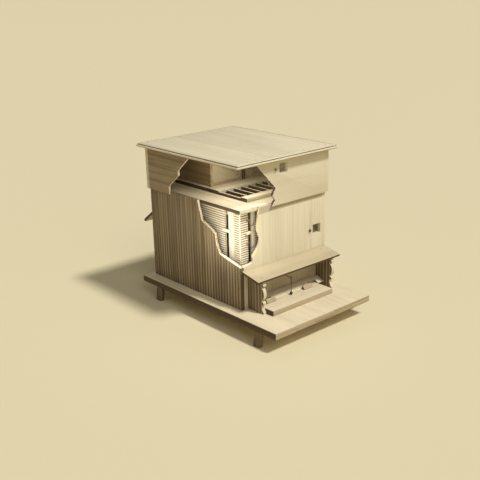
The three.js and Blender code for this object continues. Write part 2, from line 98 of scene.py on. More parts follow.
# Looks that belong to a place, in metres in the row frame: painted shade on the hive's left side
# and front wall, and a painted sheen on the glass.
REED_SCALE = 14.3  # a raised line every 22 mm
REED_SHARE = 0.85
REED_FADE = (0.56, 0.20)  # heights between which the reeds grow darker
PORTICO_SHADE_TOP = 0.305  # painted shade from the portico's roof lies on the front wall below this height
PORTICO_SHADE_FADE = 0.02
PORTICO_MIDDLE = 0.0143
PORTICO_HALF = 0.238
LIP_SHADOW_FOOT = 0.592  # the painted shadow of the cap's lip lies on the front wall above this height
SHADE_FADE = 0.004
PANE_LEFT = -0.105  # the left pane's corner and size
PANE_FOOT = 0.655
PANE_WIDTH = 0.215
PANE_HEIGHT = 0.14


def node(tree, kind, links=None, **values):
    """A shader node. links maps an input to a value or to another node's output."""
    made = tree.nodes.new("ShaderNode" + kind)
    for name, value in values.items():
        setattr(made, name, value)
    for key, value in (links or {}).items():
        socket = made.inputs[key]
        if isinstance(value, bpy.types.NodeSocket):
            tree.links.new(value, socket)
        else:
            socket.default_value = value
    return made


def math_node(tree, operation, a, b=0.0, clamp=False):
    return node(tree, "Math", {0: a, 1: b}, operation=operation, use_clamp=clamp).outputs[0]


def plus(tree, a, b, clamp=False):
    return math_node(tree, "ADD", a, b, clamp)


def times(tree, a, b, clamp=False):
    return math_node(tree, "MULTIPLY", a, b, clamp)


def scaled(tree, value, factor, offset):
    """value * factor + offset."""
    links = {0: value, 1: factor, 2: offset}
    return node(tree, "Math", links, operation="MULTIPLY_ADD").outputs[0]


def smooth_step(tree, value, low, high):
    return node(
        tree,
        "MapRange",
        {"Value": value, "From Min": low, "From Max": high},
        interpolation_type="SMOOTHSTEP",
    ).outputs["Result"]


def mix_colour(tree, share, a, b):
    made = node(tree, "Mix", {"Factor": share}, data_type="RGBA")
    for key, value in (("A", a), ("B", b)):
        socket = next(s for s in made.inputs if s.name == key and s.type == "RGBA")
        if isinstance(value, bpy.types.NodeSocket):
            tree.links.new(value, socket)
        else:
            socket.default_value = (*value, 1.0)
    return next(s for s in made.outputs if s.type == "RGBA")


def noise(tree, vector, scale, detail):
    links = {"Vector": vector, "Scale": scale, "Detail": detail}
    return node(tree, "TexNoise", links).outputs["Fac"]


def object_space(tree):
    return node(tree, "TexCoord").outputs["Object"]


def board_tone(tree):
    """The number, 0 to 1, that sets one board apart from the next."""
    return node(tree, "Attribute", attribute_name="tone").outputs["Fac"]


def grained(tree, axis, along, across, offset=0.0):
    """Coordinates squeezed along the grain, shifted from board to board."""
    shift = node(
        tree, "VectorMath", {0: (3.1, 7.7, 5.3), "Scale": board_tone(tree)}, operation="SCALE"
    ).outputs[0]
    moved = node(tree, "VectorMath", {0: object_space(tree), 1: shift}, operation="ADD").outputs[0]
    scale = [across] * 3
    scale[AXES[axis]] = along
    return node(
        tree,
        "Mapping",
        {"Vector": moved, "Scale": tuple(scale), "Location": (offset, offset * 1.7, offset * 0.6)},
    ).outputs[0]


def add_bump(tree, shader, height, strength, distance):
    bump = node(tree, "Bump", {"Strength": strength, "Distance": distance, "Height": height})
    tree.links.new(bump.outputs[0], shader.inputs["Normal"])


def new_material(name):
    made = bpy.data.materials.new(name)
    made.use_nodes = True
    tree = made.node_tree
    return made, tree, tree.nodes["Principled BSDF"]


def srgb(r, g, b):
    """A colour picked on screen, 0 to 255, as linear light."""
    return tuple(
        v / 12.92 if v <= 0.04045 else ((v + 0.055) / 1.055) ** 2.4
        for v in (r / 255, g / 255, b / 255)
    )


# Painted shade: the dark colour of the raised lines on the hive's left side.
REED_SHADE_COLOUR = srgb(84, 69, 48)
# Painted shade: the brown under the portico's roof and under the cap's lip on the front wall.
PAINTED_SHADE_COLOUR = srgb(150, 131, 99)


def reeded(tree, colour, height, axis):
    """Colour and height with raised lines of grain across an axis; their dark colour is painted
    shade, stronger towards the bottom.
    """
    line = node(
        tree,
        "TexWave",
        {
            "Vector": object_space(tree),
            "Scale": REED_SCALE,
            "Distortion": 1.6,
            "Detail": 2.0,
            "Detail Scale": 0.12,
        },
        wave_type="BANDS",
        bands_direction=axis.upper(),
    ).outputs["Fac"]
    worn = times(tree, smooth_step(tree, line, 0.35, 0.75), REED_SHARE)
    z = node(tree, "SeparateXYZ", {0: object_space(tree)}).outputs["Z"]
    shade_towards_foot = scaled(tree, smooth_step(tree, z, *REED_FADE), 0.62, 0.38)
    dark = times(tree, worn, shade_towards_foot)
    return mix_colour(tree, dark, colour, REED_SHADE_COLOUR), plus(tree, height, line)


def painted_front_shade(tree, colour, cloud):
    """The front wall's colour with painted shade between the portico's brackets, below the
    portico's roof, and a painted shadow under the cap's lip."""
    place = node(tree, "SeparateXYZ", {0: object_space(tree)})
    z = place.outputs["Z"]
    offset = math_node(tree, "SUBTRACT", place.outputs["X"], PORTICO_MIDDLE)
    from_middle = math_node(tree, "ABSOLUTE", offset)
    low = smooth_step(tree, z, PORTICO_SHADE_TOP, PORTICO_SHADE_TOP - PORTICO_SHADE_FADE)
    between = smooth_step(tree, from_middle, PORTICO_HALF + SHADE_FADE, PORTICO_HALF)
    under_lip = smooth_step(tree, z, LIP_SHADOW_FOOT - SHADE_FADE, LIP_SHADOW_FOOT)
    share = times(tree, math_node(tree, "MAXIMUM", times(tree, low, between), under_lip), 0.55)
    share = times(tree, share, scaled(tree, cloud, 0.5, 0.7), True)
    return mix_colour(tree, share, colour, PAINTED_SHADE_COLOUR)


def knotted(tree, colour, axis, share, dark):
    """The colour with round dark knots in a share of the cells of a stretched grid."""
    cells = node(
        tree,
        "TexVoronoi",
        {"Vector": grained(tree, axis, 4.2, 8.5, 2.3), "Scale": 1.0},
        feature="F1",
    )
    chosen = node(tree, "SeparateColor", {0: cells.outputs["Color"]}).outputs[0]
    sparse = math_node(tree, "GREATER_THAN", chosen, 1.0 - share)
    spot = smooth_step(tree, cells.outputs["Distance"], 0.16, 0.05)
    spot = times(tree, times(tree, spot, sparse), 0.75)
    return mix_colour(tree, spot, colour, tuple(0.45 * c for c in dark))


def wood(
    name,
    light,
    dark,
    axis,
    streaks=0.5,
    pitch=26.0,
    roughness=0.66,
    knots=0.0,
    rings=0.22,
    clouds=0.25,
    reeds=None,
    stained=False,
):
    """Planed softwood with its grain along one axis: growth rings, fibre, streaks and clouds
    between two colours. pitch packs the streaks, knots is the share of cells with a knot, and
    reeds names the axis across which the raised lines lie."""
    made, tree, shader = new_material(name)
    ring = node(
        tree,
        "TexWave",
        {
            "Vector": grained(tree, axis, 0.12, 1.0, 0.31),
            "Scale": 34.0,
            "Distortion": 5.0,
            "Detail": 2.0,
            "Detail Scale": 0.7,
        },
        wave_type="RINGS",
        rings_direction=axis.upper(),
    ).outputs["Fac"]
    fibre = noise(tree, grained(tree, axis, 14.0, 650.0), 1.0, 2.0)
    streak = noise(tree, grained(tree, axis, 1.2, pitch), 1.0, 3.0)
    cloud = noise(tree, grained(tree, axis, 2.2, 5.0, 4.0), 1.0, 4.0)
    share = times(tree, ring, rings)
    share = plus(tree, share, times(tree, smooth_step(tree, streak, 0.42, 0.66), streaks))
    share = plus(tree, share, times(tree, smooth_step(tree, cloud, 0.35, 0.75), clouds))
    fine = times(tree, math_node(tree, "SUBTRACT", fibre, 0.5), 0.4)
    colour = mix_colour(tree, plus(tree, share, fine, True), light, dark)
    height = plus(tree, times(tree, ring, 0.5), fibre)
    if reeds:
        colour, height = reeded(tree, colour, height, reeds)
    if stained:
        colour = painted_front_shade(tree, colour, cloud)
    if knots:
        colour = knotted(tree, colour, axis, knots, dark)
    value = scaled(tree, board_tone(tree), 0.10, 0.95)
    colour = node(tree, "HueSaturation", {"Color": colour, "Value": value}).outputs[0]
    tree.links.new(colour, shader.inputs["Base Color"])
    tree.links.new(scaled(tree, fibre, 0.2, roughness - 0.1), shader.inputs["Roughness"])
    add_bump(tree, shader, height, 0.35, 0.0006)
    return made


def woods(name, *look, **more):
    """One wood with its grain along each of the three axes."""
    light, dark, *rest = look
    return {axis: wood(f"{name}_{axis}", light, dark, axis, *rest, **more) for axis in AXES}


def metal(name, colour, rust, roughness, rust_share):
    """Old metal: dark, worn smoother in places, with patches of rust or tarnish."""
    made, tree, shader = new_material(name)
    patches = noise(tree, object_space(tree), 70.0, 5.0)
    pits = noise(tree, object_space(tree), 900.0, 3.0)
    share = times(tree, smooth_step(tree, patches, 0.42, 0.62), rust_share)
    tree.links.new(mix_colour(tree, share, colour, rust), shader.inputs["Base Color"])
    tree.links.new(scaled(tree, share, 0.4, roughness), shader.inputs["Roughness"])
    tree.links.new(math_node(tree, "SUBTRACT", 0.9, share, True), shader.inputs["Metallic"])
    add_bump(tree, shader, pits, 0.3, 0.0003)
    return made


def comb_material():
    """Wax comb, with its cells as a fine bump and darker centres."""
    made, tree, shader = new_material("wax_comb")
    coordinates = object_space(tree)
    sheared = node(
        tree,
        "Mapping",
        {"Vector": coordinates, "Rotation": (0.0, 0.52, 0.0), "Scale": (190.0, 1.0, 190.0)},
    ).outputs[0]
    cells = node(
        tree, "TexVoronoi", {"Vector": sheared, "Scale": 1.0, "Randomness": 0.15}, feature="F1"
    ).outputs["Distance"]
    old = smooth_step(tree, noise(tree, coordinates, 14.0, 3.0), 0.4, 0.65)
    wax = mix_colour(tree, old, srgb(186, 158, 108), srgb(122, 94, 58))
    rim = smooth_step(tree, cells, 0.25, 0.5)
    colour = mix_colour(tree, rim, srgb(84, 64, 38), wax)
    tree.links.new(colour, shader.inputs["Base Color"])
    shader.inputs["Roughness"].default_value = 0.45
    add_bump(tree, shader, rim, 0.8, 0.002)
    return made


def glass_material():
    """Old window glass with a film of dust, and a painted sheen of light across the lower left
    corner.
    """
    made, tree, shader = new_material("window_glass")
    coordinates = object_space(tree)
    waves = noise(tree, coordinates, 16.0, 1.0)
    dust = noise(tree, coordinates, 45.0, 4.0)
    shader.inputs["Base Color"].default_value = (*srgb(222, 208, 174), 1.0)
    place = node(tree, "SeparateXYZ", {0: coordinates})
    across = scaled(tree, place.outputs["X"], 1 / PANE_WIDTH, -PANE_LEFT / PANE_WIDTH)
    up = scaled(tree, place.outputs["Z"], 1 / PANE_HEIGHT, -PANE_FOOT / PANE_HEIGHT)
    diagonal = plus(tree, plus(tree, across, up), times(tree, waves, 0.3))
    dust_film_and_sheen = scaled(tree, smooth_step(tree, diagonal, 1.25, 1.05), 0.28, 0.36)
    dusty = times(tree, smooth_step(tree, dust, 0.35, 0.7), 0.05)
    tree.links.new(plus(tree, dust_film_and_sheen, dusty, True), shader.inputs["Alpha"])
    tree.links.new(scaled(tree, dust, 0.06, 0.02), shader.inputs["Roughness"])
    add_bump(tree, shader, waves, 0.08, 0.001)
    return made


PINE_TONES = srgb(221, 211, 183), srgb(192, 176, 142)
# Darker tones for the faces towards the hive's left side: painted shade, as these faces turn away
# from the light.
LEFT_SHADE_TONES = srgb(170, 151, 120), srgb(100, 85, 63)

PINE = woods("pine", *PINE_TONES, 0.16, rings=0.18, clouds=0.16)
KNOTTY = woods("knotty", *PINE_TONES, 0.20, knots=0.2, rings=0.2)
WORN = woods("worn", srgb(224, 211, 180), srgb(194, 177, 143), 0.25, knots=0.12)
LEFT_SHADE = wood("left_shade_y", *LEFT_SHADE_TONES, "y", 0.45, 110.0, 0.78)
# The front wall is darker under the portico and under the cap's lip: painted shade and a painted
# shadow.
FRONT = wood("stained_front", *PINE_TONES, "z", 0.16, rings=0.18, clouds=0.16, stained=True)
LEFT_SHADE_REEDED = wood("left_shade_reeded", *LEFT_SHADE_TONES, "z", 0.45, 62.0, 0.78, knots=0.1, reeds="y")
PORCH_ROOF = wood("porch_roof", srgb(196, 183, 150), srgb(166, 149, 116), "x", 0.3)
# Darker wood for the entrance slides: painted shade under the portico.
SHADED_PORCH = wood("shaded_porch_x", srgb(186, 170, 138), srgb(146, 128, 98), "x", 0.4)
# Dark faces: painted shade on faces towards the hive's left side, on the portico roof's drip edge
# and ends, and under the roof's moulding; on the honey boxes' meeting stiles it is the bees'
# varnish.
EDGE = woods("dark_edge", srgb(98, 79, 54), srgb(62, 47, 30), 0.6, 120.0, 0.8)
# Darker front faces: end grain on the bottom board's boards, and painted shade there and on the
# alighting board's front.
END_GRAIN_AND_SHADE = wood("end_grain_and_shade_x", srgb(186, 170, 137), srgb(150, 132, 101), "x", 0.6, 160.0, 0.8)
LEG = wood("leg_wood", srgb(128, 109, 82), srgb(84, 68, 47), "z", 0.55, 70.0, 0.78)
SLAT = woods("slat", srgb(244, 238, 218), srgb(224, 210, 178), 0.3, 90.0)
BOX = woods("stained", srgb(180, 158, 126), srgb(130, 111, 84), 0.6, 45.0, 0.6)
FRESH = wood("fresh_break", srgb(240, 228, 198), srgb(212, 192, 150), "z", 0.4, 300.0, 0.85)
# The cap front's broken edge faces away from the light: its dark colour is painted shade.
SHADED_BREAK = wood("shaded_break", srgb(96, 78, 54), srgb(60, 46, 30), "x", 0.4, 300.0, 0.85)
# Painted shade in the grooves between the slats.
GROOVE_SHADE = wood("groove_shade", srgb(184, 164, 130), srgb(140, 122, 94), "x", 0.4, 90.0, 0.9)
# Painted shade on the top boards between the rack's bars.
SLOT_SHADE = wood("slot_shade", srgb(74, 56, 36), srgb(44, 31, 19), "y", 0.5, 40.0, 0.5)
IRON = metal("wrought_iron", srgb(62, 56, 50), srgb(84, 58, 40), 0.42, 0.6)
BRASS = metal("dull_brass", srgb(170, 148, 104), srgb(108, 90, 62), 0.30, 0.5)
WIRE = metal("tinned_wire", srgb(176, 166, 144), srgb(128, 112, 86), 0.5, 0.9)
TIN = metal("tinned_frame", srgb(120, 112, 98), srgb(84, 70, 52), 0.40, 0.5)
COMB = comb_material()
GLASS = glass_material()


# ---------- Meshes ----------


def sharp_edges(bm, least=25.0):
    """Edges where two faces meet at an angle, which a plane or a sanding would round."""
    limit = math.radians(least)
    return [e for e in bm.edges if len(e.link_faces) == 2 and e.calc_face_angle(0.0) > limit]


def rounded(bm, width, segments=2, least=25.0):
    edges = sharp_edges(bm, least)
    if width > 0 and edges:
        bmesh.ops.bevel(
            bm,
            geom=edges,
            offset=width,
            offset_type="OFFSET",
            segments=segments,
            profile=0.5,
            affect="EDGES",
            clamp_overlap=True,
        )


class Shape:
    """A mesh put together from parts, in hive millimetres."""

    def __init__(self):
        self.points, self.faces, self.materials, self.tones = [], [], [], []

    def add(self, bm, tone=None, material=0, matrix=None):
        """Adds bm's faces. tone sets one board apart from the next: a number, or a function of
        a point. material is an index, a function of a face, or None for bm's own indices."""
        tone = rng.random() if tone is None else tone
        start = len(self.points)
        if matrix:
            bmesh.ops.transform(bm, matrix=matrix, verts=bm.verts)
        bm.normal_update()
        bm.verts.index_update()
        for v in bm.verts:
            self.points.append(v.co.copy())
            self.tones.append(tone(v.co) if callable(tone) else tone)
        for f in bm.faces:
            self.faces.append([start + v.index for v in f.verts])
            index = f.material_index if material is None else material
            if callable(index):
                index = index(f.calc_center_median(), f.normal)
            self.materials.append(index)
        bm.free()
        return self

    @property
    def mesh(self):
        made = bpy.data.meshes.new("shape")
        made.from_pydata(self.points, [], self.faces)
        made.polygons.foreach_set("material_index", self.materials)
        made.attributes.new("tone", "FLOAT", "POINT").data.foreach_set("value", self.tones)
        made.update()
        return made

    def box(self, low, high, bevel=1.0, **look):
        bm = bmesh.new()
        bmesh.ops.create_cube(bm, size=1.0)
        low, high = Vector(low), Vector(high)
        size = high - low
        for v in bm.verts:
            v.co = (low + high) / 2 + Vector(c * s for c, s in zip(v.co, size))
        rounded(bm, bevel)
        return self.add(bm, **look)

    def prism(self, axis, outline, start, end, bevel=1.0, segments=2, least=25.0, **look):
        """An outline pushed along an axis: points are the two other axes in order."""
        bm = bmesh.new()
        lower = [bm.verts.new(placed(axis, a, b, start)) for a, b in outline]
        upper = [bm.verts.new(placed(axis, a, b, end)) for a, b in outline]
        bm.faces.new(lower)
        bm.faces.new(upper)
        for i in range(len(outline)):
            j = (i + 1) % len(outline)
            bm.faces.new((lower[i], lower[j], upper[j], upper[i]))
        bmesh.ops.recalc_face_normals(bm, faces=bm.faces)
        rounded(bm, bevel, segments, least)
        return self.add(bm, **look)

    def tube(self, points, radius, sides=12, closed=False, **look):
        """A round wire along a list of points, closed to a loop or with flat ends."""
        bm = bmesh.new()
        points = [Vector(p) for p in points]
        last = len(points) - 1
        side = None
        rings = []
        for i, p in enumerate(points):
            if closed:
                ahead = points[(i + 1) % len(points)] - points[i - 1]
            else:
                ahead = points[min(i + 1, last)] - points[max(i - 1, 0)]
            ahead.normalize()
            if side is None:
                side = ahead.orthogonal().normalized()
            side = (side - ahead * side.dot(ahead)).normalized()
            other = ahead.cross(side)
            size = radius[i] if isinstance(radius, (list, tuple)) else radius
            rings.append(
                [
                    bm.verts.new(p + (side * math.cos(t) + other * math.sin(t)) * size)
                    for t in (2 * math.pi * k / sides for k in range(sides))
                ]
            )
        if closed:
            rings.append(rings[0])
        for a, b in zip(rings, rings[1:]):
            for k in range(sides):
                n = (k + 1) % sides
                bm.faces.new((a[k], a[n], b[n], b[k]))
        if not closed:
            bm.faces.new(list(reversed(rings[0])))
            bm.faces.new(rings[-1])
        bmesh.ops.recalc_face_normals(bm, faces=bm.faces)
        return self.add(bm, **look)

    def turned(self, centre, along, profile, sides=24, **look):
        """A turned solid: profile is (distance along the axis, radius) from end to end."""
        direction = Vector(along).normalized()
        start = Vector(centre)
        points = [start + direction * d for d, _ in profile]
        bm = bmesh.new()
        side = direction.orthogonal().normalized()
        other = direction.cross(side)
        rings = []
        for p, (_, r) in zip(points, profile):
            if r < 1e-6:
                rings.append([bm.verts.new(p)])
                continue
            rings.append(
                [
                    bm.verts.new(p + (side * math.cos(t) + other * math.sin(t)) * r)
                    for t in (2 * math.pi * k / sides for k in range(sides))
                ]
            )
        for a, b in zip(rings, rings[1:]):
            for k in range(sides):
                n = (k + 1) % sides
                corners = [a[k % len(a)], a[n % len(a)], b[n % len(b)], b[k % len(b)]]
                face = list(dict.fromkeys(corners))
                if len(face) > 2:
                    bm.faces.new(face)
        for ring in (rings[0], rings[-1]):
            if len(ring) > 2:
                bm.faces.new(ring)
        bmesh.ops.recalc_face_normals(bm, faces=bm.faces)
        return self.add(bm, **look)


SHARP_ANGLE = math.radians(40)
FLAT_ANGLE = math.radians(0.5)
FACING = 0.6  # a face looks along an axis when its normal's share of it is greater


def shaded_left(p, normal):
    """Faces towards the hive's left side, which are darker with painted shade."""
    return 1 if normal.x < -FACING else 0


def shaded_edges(p, normal):
    """A board's edges: 1 for the left one and 2 for the front one, darker than its face with
    painted shade.
    """
    return 1 if normal.x < -FACING else 2 if normal.y < -FACING else 0


def placed(axis, a, b, depth):
    """A point from an outline's two coordinates and its depth along the axis."""
    return {"x": (depth, a, b), "y": (a, depth, b), "z": (a, b, depth)}[axis]


def piece(shape, name, materials, *stands_for, body=None, slot=None):
    """Makes a piece of a shape, riding on a CAD body. One that stands for CAD nodes takes their
    body; the slot is not used."""
    body = body or NODE_BODY[stands_for[0]]
    slot = slot or NODE_SLOT[stands_for[0]]
    mesh = shape.mesh
    mesh.transform(TO_ROW)
    mesh.name = name
    made = bpy.data.objects.new(name, mesh)
    bpy.context.scene.collection.objects.link(made)
    for m in materials if isinstance(materials, list) else [materials]:
        mesh.materials.append(m)
    mesh.update()
    mesh.polygons.foreach_set("use_smooth", [True] * len(mesh.polygons))
    mesh.set_sharp_from_angle(angle=SHARP_ANGLE)
    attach(made, body)
    if stands_for:
        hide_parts(*stands_for)


def copied(node_name):
    """A CAD node's mesh as a bmesh of flat faces, in hive millimetres."""
    bm = bmesh.new()
    bm.from_mesh(NODES[node_name].data)
    bmesh.ops.remove_doubles(bm, verts=bm.verts, dist=1e-6)
    bmesh.ops.transform(bm, matrix=TO_HIVE, verts=bm.verts)
    bmesh.ops.dissolve_limit(bm, angle_limit=FLAT_ANGLE, verts=bm.verts, edges=bm.edges)
    return bm


def helper_object(bm, slots=0):
    """An object for a boolean, with empty material slots that keep its faces' indices."""
    mesh = bpy.data.meshes.new("helper")
    bm.to_mesh(mesh)
    bm.free()
    made = bpy.data.objects.new("helper", mesh)
    bpy.context.scene.collection.objects.link(made)
    for _ in range(slots):
        mesh.materials.append(None)
    return made


def combined(base, tool, operation):
    """Base after a boolean with the tool, as a bmesh. Both are removed."""
    modifier = base.modifiers.new("cut", "BOOLEAN")
    modifier.operation = operation
    modifier.object = tool
    modifier.solver = "MANIFOLD"
    bpy.context.view_layer.update()
    graph = bpy.context.evaluated_depsgraph_get()
    bm = bmesh.new()
    bm.from_mesh(base.evaluated_get(graph).to_mesh())
    for o in (base, tool):
        mesh = o.data
        bpy.data.objects.remove(o)
        bpy.data.meshes.remove(mesh)
    return bm


SLAB_SIZE = 4000.0


def slab(axis, low, high):
    """A big slab between two positions along one axis, for cutting a board out of a wall."""
    bm = bmesh.new()
    bmesh.ops.create_cube(bm, size=SLAB_SIZE)
    index = AXES[axis]
    for v in bm.verts:
        v.co[index] = low if v.co[index] < 0 else high
    return bm


BREAK_DEPTH = 3.0  # how deep the splinters are torn into the wood
BREAK_STEP = 6.0
BREAK_LAYERS = 5
BREAK_CLEAR = 3.0  # how far a break's tools stand out of the wall's two faces
SLIVER = 9.0  # the tool's width beyond the broken edge
SLIVER_ENDS = 6.0  # and past its two ends


def jagged(line):
    """A broken edge: line's points stepped closely and pushed into the wood, on its left."""
    made = []
    for (ax, az), (bx, bz) in zip(line, line[1:]):
        length = math.hypot(bx - ax, bz - az)
        left = Vector((-(bz - az), bx - ax)) / length
        count = max(2, round(length / BREAK_STEP))
        for i in range(count):
            t = (i + 0.5 * rng.random()) / count
            push = BREAK_DEPTH * rng.random() ** 2
            made.append((ax + (bx - ax) * t + left.x * push, az + (bz - az) * t + left.y * push))
    made.append(line[-1])
    return made


def break_tool(axis, line, low, high):
    """The sliver that a break takes off: from the line's clear side to a jagged line."""
    inner = [Vector(p) for p in jagged(line)]
    outer = []
    for i, (u, w) in enumerate(line):
        a = line[max(i - 1, 0)]
        b = line[min(i + 1, len(line) - 1)]
        away = Vector((b[1] - a[1], -(b[0] - a[0]))).normalized() * SLIVER
        outer.append(Vector((u, w)) + away)
    first, last = Vector(line[0]), Vector(line[-1])
    start = (first - Vector(line[1])).normalized() * SLIVER_ENDS
    end = (last - Vector(line[-2])).normalized() * SLIVER_ENDS
    inner = [first + start, *inner, last + end]
    outer = [outer[0] + start, *outer, outer[-1] + end]
    mesh = Shape().prism(axis, [*inner, *reversed(outer)], low, high, bevel=0, material=1).mesh
    bm = bmesh.new()
    bm.from_mesh(mesh)
    bpy.data.meshes.remove(mesh)
    bmesh.ops.triangulate(bm, faces=bm.faces)
    return bm


def broken(bm, breaks, face, lean):
    """A board with its broken edge, which leans back along the wall from the wall's outer face
    to its inner one, layer by layer."""
    across, line = breaks
    step = WALL / BREAK_LAYERS
    for i in range(BREAK_LAYERS):
        low = face + step * i - (BREAK_CLEAR if i == 0 else 0.0)
        high = face + step * (i + 1) + (BREAK_CLEAR if i == BREAK_LAYERS - 1 else 0.0)
        along = lean * (i + 0.8) / BREAK_LAYERS
        shifted = [(u + along, w) for u, w in line]
        base = helper_object(bm, 2)
        tool = helper_object(break_tool(across, shifted, low, high), 2)
        bm = combined(base, tool, "DIFFERENCE")
    return bm


def boards(node_name, axis, seams, breaks=None, face=0.0, lean=0.0):
    """A wall of boards with fine joints, cut out of its CAD node, and its broken edge. Materials
    are 0 for the boards, 1 for a break and 2 for a whole wall's end in the case's left side, which
    takes the left side's painted shade."""
    whole = Shape()
    for low, high in zip(seams, seams[1:]):
        source = helper_object(copied(node_name))
        bm = combined(source, helper_object(slab(axis, low, high)), "INTERSECT")
        if not bm.faces:
            bm.free()
            continue
        bmesh.ops.remove_doubles(bm, verts=bm.verts, dist=1e-3)
        bmesh.ops.dissolve_limit(bm, angle_limit=FLAT_ANGLE, verts=bm.verts, edges=bm.edges)
        rounded(bm, 0.6, 2, 40.0)
        for f in bm.faces:
            in_left_side = f.normal.x < -FACING and abs(f.calc_center_median().x) < 1.0
            f.material_index = 2 if in_left_side and not breaks else 0
        tone = rng.random()
        if breaks:
            bm = broken(bm, breaks, face, lean)
        whole.add(bm, tone=tone, material=None)
    return whole


def split(bm, axis, *positions):
    """Cuts the faces at positions along an axis, so that part of a face can look different."""
    for position in positions:
        normal = Vector((0, 0, 0))
        normal[AXES[axis]] = 1.0
        everything = [*bm.verts, *bm.edges, *bm.faces]
        bmesh.ops.bisect_plane(bm, geom=everything, plane_co=normal * position, plane_no=normal)


def dress(node_name, materials, bevel=0.8, segments=2, least=30.0, **look):
    """A CAD node's own shape with its edges eased, as a smooth piece that stands for it."""
    bm = copied(node_name)
    rounded(bm, bevel, segments, least)
    piece(Shape().add(bm, **look), node_name + "_look", materials, node_name)


def even(low, high, count):
    return [low + (high - low) * i / count for i in range(count + 1)]


def turn_to(centre, normal):
    """A matrix that stands a small part on a face: its z axis along the normal."""
    turn = Vector(normal).to_track_quat("Z", "Y").to_matrix().to_4x4()
    return Matrix.Translation(Vector(centre)) @ turn


def nail(shape, centre, normal, radius=2.4):
    """A driven nail's head, nearly flush."""
    profile = [(0.0, radius), (1.25, radius), (1.55, radius * 0.75), (1.65, 0.0)]
    shape.turned(Vector(centre) - Vector(normal), normal, profile, 12)


def screw(shape, centre, normal, radius=4.0, turn=0.0):
    """A slotted screw head: two halves of a low dome on a disc, with the slot between."""
    matrix = turn_to(centre, normal) @ Matrix.Rotation(turn, 4, "Z")
    slot = radius * 0.14
    dome = radius * 0.82
    steps = 9
    disc = bmesh.new()
    bmesh.ops.create_cone(
        disc, cap_ends=True, segments=20, radius1=radius, radius2=radius, depth=1.2
    )
    shape.add(disc, matrix=matrix)
    start = math.asin(slot / radius)
    arc = [start + (math.pi - 2 * start) * i / steps for i in range(steps + 1)]
    for side in (1, -1):
        half = bmesh.new()
        low = [
            half.verts.new((radius * math.cos(t), side * radius * math.sin(t), 0.5)) for t in arc
        ]
        high = [
            half.verts.new((dome * math.cos(t), side * max(slot, dome * math.sin(t)), 1.5))
            for t in arc
        ]
        half.faces.new(low)
        half.faces.new(high)
        for i in range(len(arc)):
            j = (i + 1) % len(arc)
            half.faces.new((low[i], low[j], high[j], high[i]))
        bmesh.ops.recalc_face_normals(half, faces=half.faces)
        shape.add(half, matrix=matrix)


def smooth_line(knots, steps=6):
    """Points along a smooth curve through the knots."""
    line = []
    for i in range(len(knots) - 1):
        before, a = knots[max(i - 1, 0)], knots[i]
        b, after = knots[i + 1], knots[min(i + 2, len(knots) - 1)]
        for k in range(steps):
            t = k / steps
            bend = 2 * before - 5 * a + 4 * b - after
            twist = 3 * a - before - 3 * b + after
            line.append(0.5 * (2 * a + (b - before) * t + bend * t * t + twist * t**3))
    return [*line, knots[-1]]


# ---------- Stand ----------

floor_boards = Shape()
joints = even(BOARD_LEFT, BOARD_RIGHT, 5)
for x0, x1 in zip(joints, joints[1:]):
    low, high = (x0, BOARD_FRONT, -BOARD_THICKNESS), (x1, BOARD_REAR, 0)
    floor_boards.box(low, high, 0.5, material=shaded_edges)
piece(floor_boards, "bottom_board_look", [WORN["y"], EDGE["y"], END_GRAIN_AND_SHADE], "bottom_board")
for end in ("front", "rear"):
    for side in ("left", "right"):
        dress(f"leg_{end}_{side}", LEG, 1.6)

# ---------- Case walls ----------

# Broken edges, from the wall's top down: distance along the wall, height.
ABOVE_CAP, UNDER_CAP = 743, 507
CASE_LEFT_BREAK = [
    (324, CASE_TOP),
    (294, 413),
    (243, 394),
    (190, 367),
    (181, 314),
    (157, 265),
    (0, 228),
]
CASE_FRONT_BREAK = [
    (130, CASE_TOP),
    (111, 404),
    (132, 350),
    (122, 318),
    (103, 291),
    (80, 268),
    (83, 239),
    (22, 228),
]
CAP_LEFT_BREAK = [
    (358, ABOVE_CAP),
    (369, 732),
    (465, 649),
    (462, 624),
    (551, 552),
    (551, UNDER_CAP),
]
CAP_FRONT_BREAK = [
    (98, ABOVE_CAP),
    (110, 728),
    (230, 600),
    (208, 562),
    (227, 537),
    (200, UNDER_CAP),
]
FRONT_LEAN, LEFT_LEAN = 12.0, 16.0

SIDE_SEAMS = even(0, CASE_DEPTH - WALL, 7)
WHOLE_WIDTH = [-20, 640]
WHOLE_DEPTH = [-20, 800]

# Name, wood, wood where it is broken, axis across the boards and their seams.
WALLS = [
    ("front_wall", FRONT, FRESH, "x", even(WALL, CASE_WIDTH - WALL, 6)),
    ("left_wall", LEFT_SHADE_REEDED, FRESH, "y", SIDE_SEAMS),
    ("right_wall", KNOTTY["z"], FRESH, "y", SIDE_SEAMS),
    ("rear_wall", KNOTTY["z"], FRESH, "x", even(0, CASE_WIDTH, 6)),
    ("cap_front", PINE["x"], SHADED_BREAK, "x", WHOLE_WIDTH),
    ("cap_left", LEFT_SHADE, FRESH, "y", WHOLE_DEPTH),
    ("cap_right", KNOTTY["y"], FRESH, "y", WHOLE_DEPTH),
    ("cap_rear", KNOTTY["x"], FRESH, "x", WHOLE_WIDTH),
]
# The axis through the wall and the edge's line, the wall's outer face, and the edge's lean.
BREAKS = {
    "front_wall": (("y", CASE_FRONT_BREAK), 0.0, FRONT_LEAN),
    "left_wall": (("x", CASE_LEFT_BREAK), 0.0, LEFT_LEAN),
    "cap_front": (("y", CAP_FRONT_BREAK), -CAP_PROUD, FRONT_LEAN),
    "cap_left": (("x", CAP_LEFT_BREAK), -CAP_PROUD, LEFT_LEAN),
}
for name, wooden, broken_wood, axis, seams in WALLS:
    shape = boards(name, axis, seams, *BREAKS.get(name, ()))
    piece(shape, name + "_look", [wooden, broken_wood, LEFT_SHADE_REEDED], name)

# ---------- Vents ----------


